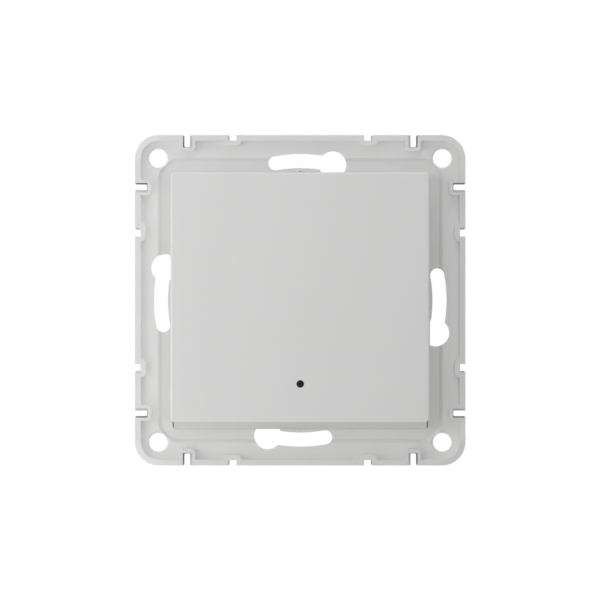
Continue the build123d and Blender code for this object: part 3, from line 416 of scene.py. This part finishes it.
board, given, result = start_tree(
    "lacquered_tracks", "ShaderNodeTree",
    {"Colour": "Color", "Track": "Color", "Pitch": "Float", "Roughness": "Float"},
    {"Colour": "Color", "Roughness": "Float", "Height": "Float"})
place = add(board, "ShaderNodeTexCoord").outputs["Object"]
laid_flat = add(board, "ShaderNodeMapping", {"Vector": place, "Rotation": (math.radians(90), 0, 0)})
tracks = add(board, "ShaderNodeTexBrick", {
    "Vector": laid_flat.outputs[0], "Scale": given["Pitch"], "Mortar Size": TRACK_WIDTH})
lacquer = blend(board, tracks.outputs["Fac"], given["Colour"], given["Track"])
smoother = sums(board, "MULTIPLY", tracks.outputs["Fac"], TRACK_GLOSS)
gloss = sums(board, "SUBTRACT", given["Roughness"], smoother)
board.links.new(lacquer, result["Colour"])
board.links.new(gloss, result["Roughness"])
board.links.new(tracks.outputs["Fac"], result["Height"])

FINISH["circuit_board"] = finish_with(
    "circuit_board", board,
    {"Colour": (0.010, 0.085, 0.040, 1), "Track": (0.025, 0.16, 0.07, 1), "Pitch": 260.0,
     "Roughness": 0.38},
    20 * MICRON, ior=1.5)
print("circuit_board made")

# %% [markdown]
# ## Softened mouldings
# No moulded edge is a knife edge. The solids have their real fillets, but their plain corners are
# sharp, and a sharp corner catches no light. Each moulding is copied, welded, and every remaining sharp
# edge is rounded by a fraction of a millimetre. Weighted normals then keep the large faces flat up to
# the rounding. The frame gets two touches more: its corner holes widen to the rear, as draft in the
# tool makes them, so their walls stay out of sight, and its flat front faces keep their own normals, so
# the sloped facets at the rim's corners stay crisp.

# %% A softened copy of a solid
WELD = 1e-7
FLAT = math.radians(0.2)
SHARP = math.radians(28)


def put_in_scene(piece, mesh):
    """A new object for a finished mesh."""
    made = bpy.data.objects.new(piece, mesh)
    bpy.context.scene.collection.objects.link(made)
    return made


def softened(node, piece, body, radius, slot, shape=None):
    """A copy of a solid with its sharp edges rounded, riding in the solid's place."""
    work = bmesh.new()
    work.from_mesh(NODES[node].data)
    for layer in list(work.loops.layers.float_vector):
        work.loops.layers.float_vector.remove(layer)
    bmesh.ops.remove_doubles(work, verts=work.verts, dist=WELD)
    bmesh.ops.dissolve_limit(work, angle_limit=FLAT, verts=work.verts, edges=work.edges)
    if shape:
        shape(work)
    corners = [edge for edge in work.edges if edge.is_manifold and edge.calc_face_angle() > SHARP]
    bmesh.ops.bevel(work, geom=corners, offset=radius, offset_type="OFFSET", segments=2, profile=0.5,
                    affect="EDGES", clamp_overlap=True)
    for face in work.faces:
        face.smooth = True
    mesh = bpy.data.meshes.new(piece)
    work.to_mesh(mesh)
    work.free()
    if "custom_normal" in mesh.attributes:
        mesh.attributes.remove(mesh.attributes["custom_normal"])
    made = put_in_scene(piece, mesh)
    made.modifiers.new("flat_faces", "WEIGHTED_NORMAL")
    graph = bpy.context.evaluated_depsgraph_get()
    made.data = bpy.data.meshes.new_from_object(made.evaluated_get(graph))
    made.modifiers.clear()
    made.data.materials.clear()
    made.data.materials.append(FINISH[slot])
    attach(made, body)
    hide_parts(node)
    print(piece, "rounded edges:", len(corners), "faces:", len(made.data.polygons))
    return made


print("edges sharper than", round(math.degrees(SHARP)), "degrees are rounded")

# %% Frame with drafted corner holes and crisp facets
FRAME_ROUNDING = 0.08 * MM
HOLE_DRAFT = 0.26 * MM
TOUCH = 0.01 * MM
FRONTAL = -0.97
FLAT_AREA = 2 * MM * MM


def drafted_holes(work):
    """Widens the rear rim of the corner holes, as the draft of a moulding tool does."""
    screws = next(mount["dims"] for mount in frame["record"]["mounts"] if mount["name"] == "corner_screws")
    away, hole_r = screws["spacing_x_mm"] / 2 * MM, screws["hole_r_mm"] * MM
    for vert in work.verts:
        spot = Vector((abs(vert.co.x) - away, abs(vert.co.z) - away))
        if abs(vert.co.y) < TOUCH and abs(spot.length - hole_r) < TOUCH:
            vert.co.x += math.copysign(1, vert.co.x) * spot.x * HOLE_DRAFT / hole_r
            vert.co.z += math.copysign(1, vert.co.z) * spot.y * HOLE_DRAFT / hole_r


def crisp_front(made):
    """Gives each flat front face its own normal, so that the shallow creases between them stay crisp."""
    normals = [corner.vector.copy() for corner in made.data.corner_normals]
    for face in made.data.polygons:
        if face.normal.y < FRONTAL and face.area > FLAT_AREA:
            for corner in face.loop_indices:
                normals[corner] = face.normal.copy()
    made.data.normals_split_custom_set(normals)


frame_moulding = softened("support_frame", "frame_moulding", "base", FRAME_ROUNDING, "frame_plastic",
                          drafted_holes)
crisp_front(frame_moulding)

# %% [markdown]
# ## Painted shade on the walls of the deep notches
# In the photograph the walls of the eight deep notches are far darker than those of the shallow ones,
# because they lie in shade that the lamps here do not give them. So the shade is painted: the mesh tags
# those walls with an attribute, and the frame's material mixes a grey of painted shade in where it finds
# the tag. A second piece laid over the walls would do as well, but it would double the faces.

# %% Tag the deep notch walls for painted shade
NOTCH_AT = 24.25 * MM
NOTCH_REACH = 1.3 * MM
NOTCH_DEPTH = 3.1 * MM
STEEP = 0.6
# The grey of the painted shade on the deep notch walls.
NOTCH_SHADE_GREY = grey(0.30)


def is_shaded_notch_wall(face):
    """Whether a face is a wall of a deep notch that looks into the notch and gets the painted shade."""
    if abs(face.normal.y) > STEEP:
        return False
    for along, across in ((0, 2), (2, 0)):
        aside = abs(face.center[along]) - NOTCH_AT
        inward = CAD_BOX[1][across] - abs(face.center[across])
        if abs(aside) < NOTCH_REACH and TOUCH < inward < NOTCH_DEPTH:
            outward = math.copysign(1, face.center[along]) * math.copysign(1, aside)
            across_notch = face.normal[along] * outward
            out_of_end = face.normal[across] * math.copysign(1, face.center[across])
            return across_notch < -STEEP or out_of_end > STEEP
    return False


shade_marks = frame_moulding.data.attributes.new("painted_notch_shade", "FLOAT", "FACE")
for face in frame_moulding.data.polygons:
    shade_marks.data[face.index].value = float(is_shaded_notch_wall(face))

# Painted shade: where a face is tagged, the frame's pale colour gives way to a darker grey.
paint = FINISH["frame_plastic"].node_tree
shader = paint.nodes["Principled BSDF"]
pale = shader.inputs["Base Color"].links[0].from_socket
shade_mark = add(paint, "ShaderNodeAttribute", attribute_name="painted_notch_shade")
paint.links.new(blend(paint, shade_mark.outputs["Fac"], pale, NOTCH_SHADE_GREY), shader.inputs["Base Color"])
# Counts the notch walls that carry the painted shade.
print("cut walls:", sum(mark.value > 0 for mark in shade_marks.data))

# %% [markdown]
# ## Key, cover and housing
# The key's sloped edge runs down to the frame with no dark line below it, so the gap there is too
# narrow to look into. The solid leaves room for the key to swing. Here its lower wall comes nearer to
# the window's edge, which the swing allows, because a pressed key draws away from that edge. Cover and
# housing are only softened.

# %% Key with a close foot, cover and housing
KEY_ROUNDING = 0.06 * MM
COVER_ROUNDING = 0.08 * MM
HOUSING_ROUNDING = 0.12 * MM
FOOT_REACH = 0.09 * MM


def close_foot(work):
    """Brings the key's lower wall nearer to the edge of the window in the frame."""
    foot = min(vert.co.z for vert in work.verts)
    for vert in work.verts:
        if vert.co.z < foot + TOUCH:
            vert.co.z -= FOOT_REACH


softened("key", "key_moulding", "key", KEY_ROUNDING, "key_plastic", close_foot)
softened("front_cover", "cover_moulding", "base", COVER_ROUNDING, "cover_plastic")
softened("housing", "housing_moulding", "base", HOUSING_ROUNDING, "housing_plastic")

# %% [markdown]
# ## Coiled wire
# Two small springs push the key back out, and the choke on the power board is wound with enamelled
# copper. Both are a wire that follows a helix, so one Geometry Nodes tree serves both. A screw modifier
# could spin the wire too, but a tree keeps radius, turns and length as plain inputs. One input draws
# the end turns together, as on a spring whose ends are closed.

# %% The coil tree
STEPS_PER_TURN = 28
WIRE_SIDES = 12

coil, given, result = start_tree(
    "coiled_wire", "GeometryNodeTree",
    {"Mean Radius": "Float", "Wire Radius": "Float", "Turns": "Float", "Length": "Float",
     "Closed Ends": "Float", "Foot": "Vector", "Finish": "Material"},
    {"Geometry": "Geometry"})
helix = add(coil, "GeometryNodeCurveSpiral", {
    "Resolution": STEPS_PER_TURN, "Rotations": given["Turns"], "Start Radius": given["Mean Radius"],
    "End Radius": given["Mean Radius"], "Height": given["Length"]})
spot = add(coil, "ShaderNodeSeparateXYZ", {0: add(coil, "GeometryNodeInputPosition").outputs[0]})
share = sums(coil, "DIVIDE", spot.outputs["Z"], given["Length"])
wave = sums(coil, "COSINE", sums(coil, "MULTIPLY", share, math.pi))
eased = sums(coil, "MULTIPLY", sums(coil, "SUBTRACT", 1.0, wave), 0.5)
drawn_in = sums(coil, "MULTIPLY", sums(coil, "SUBTRACT", eased, share), given["Closed Ends"])
shift = add(coil, "ShaderNodeCombineXYZ", {"Z": sums(coil, "MULTIPLY", drawn_in, given["Length"])})
closed = add(coil, "GeometryNodeSetPosition", {"Geometry": helix.outputs[0], "Offset": shift.outputs[0]})
section = add(coil, "GeometryNodeCurvePrimitiveCircle", {
    "Resolution": WIRE_SIDES, "Radius": given["Wire Radius"]})
wire = add(coil, "GeometryNodeCurveToMesh", {
    "Curve": closed.outputs[0], "Profile Curve": section.outputs[0], "Fill Caps": True})
stood = add(coil, "GeometryNodeTransform", {
    "Geometry": wire.outputs[0], "Translation": given["Foot"], "Rotation": (math.radians(90), 0, 0)})
rounded = add(coil, "GeometryNodeSetShadeSmooth", {"Geometry": stood.outputs[0]})
real = add(coil, "GeometryNodeRealizeInstances", {"Geometry": rounded.outputs[0]})
painted = add(coil, "GeometryNodeSetMaterial", {"Geometry": real.outputs[0], "Material": given["Finish"]})
coil.links.new(painted.outputs[0], result["Geometry"])
print("coiled_wire:", len(coil.nodes), "nodes")

# %% Run a tree and keep a plain mesh
def grown(tree, piece, sizes):
    """Runs a Geometry Nodes tree with these sizes and keeps what it makes as a plain mesh."""
    made = put_in_scene(piece, bpy.data.meshes.new(piece))
    maker = made.modifiers.new(tree.name, "NODES")
    maker.node_group = tree
    for item in tree.interface.items_tree:
        if item.in_out == "INPUT":
            maker[item.identifier] = sizes[item.name]
    graph = bpy.context.evaluated_depsgraph_get()
    mesh = bpy.data.meshes.new_from_object(made.evaluated_get(graph))
    made.modifiers.remove(maker)
    made.data = mesh
    mesh.name = piece
    print(piece, "faces:", len(mesh.polygons))
    return made


def middle(node):
    """The middle of a solid's box."""
    low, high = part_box(node)
    return [(a + b) / 2 for a, b in zip(low, high)]


print("grown runs a tree, middle finds its place")

# %% Return springs
SPRING_WIRE_R = 0.2 * MM
SPRING_TURNS = 5.0
SPRING_CLOSED = 0.5

for side in ("left", "right"):
    node = "return_spring_" + side
    low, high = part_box(node)
    at = middle(node)
    spring = grown(coil, "spring_" + side, {
        "Mean Radius": (high[0] - low[0]) / 2 - SPRING_WIRE_R, "Wire Radius": SPRING_WIRE_R,
        "Turns": SPRING_TURNS, "Length": high[1] - low[1] - 2 * SPRING_WIRE_R, "Closed Ends": SPRING_CLOSED,
        "Foot": (at[0], high[1] - SPRING_WIRE_R, at[2]), "Finish": FINISH["spring_steel"]})
    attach(spring, "base")
    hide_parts(node)
    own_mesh(spring)

# %% Winding of the choke
WINDING_WIRE_R = 0.27 * MM
WINDING_PITCH = 2.05 * WINDING_WIRE_R
CHOKE_FLANGE = 1.4 * MM
CHOKE_GROOVE_R = 2.7 * MM

low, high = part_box("choke")
at = middle("choke")
wound = high[1] - low[1] - 2 * CHOKE_FLANGE - 2 * WINDING_WIRE_R
winding = grown(coil, "choke_winding", {
    "Mean Radius": CHOKE_GROOVE_R + WINDING_WIRE_R, "Wire Radius": WINDING_WIRE_R,
    "Turns": wound / WINDING_PITCH, "Length": wound, "Closed Ends": 0.0,
    "Foot": (at[0], high[1] - CHOKE_FLANGE - WINDING_WIRE_R, at[2]), "Finish": FINISH["copper_wire"]})
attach(winding, "base")

# %% [markdown]
# ## Screws
# The part has seven: four that hold the cover, with a cross recess, and three slotted ones in the wire
# clamps. The solids leave their threads plain, because a turning thread would only make the solids
# heavy. Here each screw is grown by one tree: a chamfered head, a recess cut out of it, a core and a
# thread that winds round the core and stays within the plain shank of the solid.

# %% The screw tree: head and recess
HEAD_SIDES = 40
CHAMFER_SHARE = 0.2

screw, given, result = start_tree(
    "machine_screw", "GeometryNodeTree",
    {"Head Radius": "Float", "Head Height": "Float", "Recess Width": "Float", "Recess Depth": "Float",
     "Recess Length": "Float", "Cross": "Bool", "Thread Radius": "Float", "Thread Depth": "Float",
     "Pitch": "Float", "Shank": "Float", "Across": "Int", "Gap": "Float", "Turn": "Vector",
     "Place": "Vector", "Finish": "Material"},
    {"Geometry": "Geometry"})
chamfer = sums(screw, "MULTIPLY", given["Head Height"], CHAMFER_SHARE)
drum_height = sums(screw, "SUBTRACT", given["Head Height"], chamfer)
drum = add(screw, "GeometryNodeMeshCylinder", {
    "Vertices": HEAD_SIDES, "Radius": given["Head Radius"], "Depth": drum_height})
crown = add(screw, "GeometryNodeExtrudeMesh", {
    "Mesh": drum.outputs["Mesh"], "Selection": drum.outputs["Top"], "Offset Scale": chamfer}, mode="FACES")
narrowing = sums(screw, "SUBTRACT", 1.0, sums(screw, "DIVIDE", chamfer, given["Head Radius"]))
tapered = add(screw, "GeometryNodeScaleElements", {
    "Geometry": crown.outputs["Mesh"], "Selection": crown.outputs["Top"], "Scale": narrowing})
seat = add(screw, "ShaderNodeCombineXYZ", {"Z": sums(screw, "MULTIPLY", drum_height, 0.5)})
head = add(screw, "GeometryNodeTransform", {"Geometry": tapered.outputs[0], "Translation": seat.outputs[0]})
blade_depth = sums(screw, "MULTIPLY", given["Recess Depth"], 2.0)
blade_size = add(screw, "ShaderNodeCombineXYZ", {
    "X": given["Recess Length"], "Y": given["Recess Width"], "Z": blade_depth})
blade = add(screw, "GeometryNodeMeshCube", {"Size": blade_size.outputs[0]})
top = add(screw, "ShaderNodeCombineXYZ", {"Z": given["Head Height"]})
slot_cut = add(screw, "GeometryNodeTransform", {
    "Geometry": blade.outputs["Mesh"], "Translation": top.outputs[0]})
cross_cut = add(screw, "GeometryNodeTransform", {
    "Geometry": slot_cut.outputs[0], "Rotation": (0, 0, math.radians(90))})
second = add(screw, "GeometryNodeSwitch", {"Switch": given["Cross"], "True": cross_cut.outputs[0]},
             input_type="GEOMETRY")
driven = add(screw, "GeometryNodeMeshBoolean", {"Mesh 1": head.outputs[0], "Mesh 2": slot_cut.outputs[0]},
             operation="DIFFERENCE", solver="EXACT")
screw.links.new(second.outputs[0], driven.inputs["Mesh 2"])
print("head of the screw tree:", len(screw.nodes), "nodes")

# %% The screw tree: core, thread and places
CORE_SIDES = 32
THREAD_STEPS = 24
THREAD_SHARE = 0.94
THREAD_FOOT = -0.97
TOOTH_SIDES = 4
TOOTH_SHARE = 0.42

core_r = sums(screw, "SUBTRACT", given["Thread Radius"], given["Thread Depth"])
core = add(screw, "GeometryNodeMeshCylinder", {
    "Vertices": CORE_SIDES, "Radius": core_r, "Depth": given["Shank"]})
half_down = add(screw, "ShaderNodeCombineXYZ", {"Z": sums(screw, "MULTIPLY", given["Shank"], -0.5)})
hung = add(screw, "GeometryNodeTransform", {
    "Geometry": core.outputs["Mesh"], "Translation": half_down.outputs[0]})
reach = sums(screw, "MULTIPLY", given["Shank"], THREAD_SHARE)
ramp = add(screw, "GeometryNodeCurveSpiral", {
    "Resolution": THREAD_STEPS, "Rotations": sums(screw, "DIVIDE", reach, given["Pitch"]),
    "Start Radius": core_r, "End Radius": core_r, "Height": reach})
upright = add(screw, "GeometryNodeSetCurveNormal", {"Curve": ramp.outputs[0]}, mode="Z_UP")
tooth = add(screw, "GeometryNodeCurvePrimitiveCircle", {"Resolution": TOOTH_SIDES, "Radius": 1.0})
tooth_height = sums(screw, "MULTIPLY", given["Pitch"], TOOTH_SHARE)
tooth_size = add(screw, "ShaderNodeCombineXYZ", {"X": given["Thread Depth"], "Y": tooth_height, "Z": 1.0})
profile = add(screw, "GeometryNodeTransform", {
    "Geometry": tooth.outputs[0], "Scale": tooth_size.outputs[0]})
ridge = add(screw, "GeometryNodeCurveToMesh", {
    "Curve": upright.outputs[0], "Profile Curve": profile.outputs[0], "Fill Caps": True})
down = add(screw, "ShaderNodeCombineXYZ", {"Z": sums(screw, "MULTIPLY", given["Shank"], THREAD_FOOT)})
thread = add(screw, "GeometryNodeTransform", {"Geometry": ridge.outputs[0], "Translation": down.outputs[0]})
whole = add(screw, "GeometryNodeJoinGeometry", {"Geometry": driven.outputs[0]})
screw.links.new(hung.outputs[0], whole.inputs[0])
screw.links.new(thread.outputs[0], whole.inputs[0])
places = add(screw, "GeometryNodeMeshGrid", {
    "Size X": given["Gap"], "Size Y": given["Gap"],
    "Vertices X": given["Across"], "Vertices Y": given["Across"]})
set_out = add(screw, "GeometryNodeInstanceOnPoints", {
    "Points": places.outputs["Mesh"], "Instance": whole.outputs[0]})
turn = add(screw, "FunctionNodeEulerToRotation", {0: given["Turn"]})
stood = add(screw, "GeometryNodeTransform", {
    "Geometry": set_out.outputs[0], "Translation": given["Place"], "Rotation": turn.outputs[0]})
real = add(screw, "GeometryNodeRealizeInstances", {"Geometry": stood.outputs[0]})
painted = add(screw, "GeometryNodeSetMaterial", {"Geometry": real.outputs[0], "Material": given["Finish"]})
screw.links.new(painted.outputs[0], result["Geometry"])
print("whole screw tree:", len(screw.nodes), "nodes")

# %% Clamp screws
CLAMP_HEAD = 1.8 * MM
CLAMP_SLOT = 0.9 * MM
CLAMP_SLOT_LENGTH = 6 * MM
CLAMP_THREAD_R = 1.44 * MM
CLAMP_THREAD_DEPTH = 0.28 * MM
CLAMP_PITCH = 0.6 * MM

for number in (1, 2, 3):
    node = "terminal_screw_%d" % number
    low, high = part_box(node)
    at = middle(node)
    clamp = grown(screw, "clamp_screw_%d" % number, {
        "Head Radius": (high[0] - low[0]) / 2, "Head Height": CLAMP_HEAD, "Recess Width": CLAMP_SLOT,
        "Recess Depth": CLAMP_SLOT, "Recess Length": CLAMP_SLOT_LENGTH, "Cross": False,
        "Thread Radius": CLAMP_THREAD_R, "Thread Depth": CLAMP_THREAD_DEPTH, "Pitch": CLAMP_PITCH,
        "Shank": high[1] - low[1] - CLAMP_HEAD, "Across": 1, "Gap": 0.0,
        "Turn": (math.radians(-90), 0, 0), "Place": (at[0], high[1] - CLAMP_HEAD, at[2]),
        "Finish": FINISH["zinc_steel"]})
    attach(clamp, "screw_%d" % number)
    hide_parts(node)

# %% Cover screws
COVER_HEAD = 0.9 * MM
COVER_HEAD_R = 1.8 * MM
CROSS_WIDTH = 0.5 * MM
CROSS_DEPTH = 0.4 * MM
CROSS_LENGTH = 2.2 * MM
COVER_THREAD_R = 0.94 * MM
COVER_THREAD_DEPTH = 0.2 * MM
COVER_PITCH = 0.7 * MM

low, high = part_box("cover_screws")
at = middle("cover_screws")
cover_set = grown(screw, "cover_screw_set", {
    "Head Radius": COVER_HEAD_R, "Head Height": COVER_HEAD, "Recess Width": CROSS_WIDTH,
    "Recess Depth": CROSS_DEPTH, "Recess Length": CROSS_LENGTH, "Cross": True,
    "Thread Radius": COVER_THREAD_R, "Thread Depth": COVER_THREAD_DEPTH, "Pitch": COVER_PITCH,
    "Shank": high[1] - low[1] - COVER_HEAD, "Across": 2,
    "Gap": high[0] - low[0] - 2 * COVER_HEAD_R, "Turn": (math.radians(90), 0, 0),
    "Place": (at[0], low[1] + COVER_HEAD, at[2]), "Finish": FINISH["zinc_steel"]})
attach(cover_set, "base")
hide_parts("cover_screws")

# %% [markdown]
# ## Carried-over solids
# The small inner parts have the right shape as solids, so they stay and only take the finish of their
# slot.

# %% Paint the solids by slot
for part in frame["record"]["subparts"]:
    solid = NODES[part["node"]]
    solid.data.materials.clear()
    solid.data.materials.append(FINISH[part["material_slot"]])
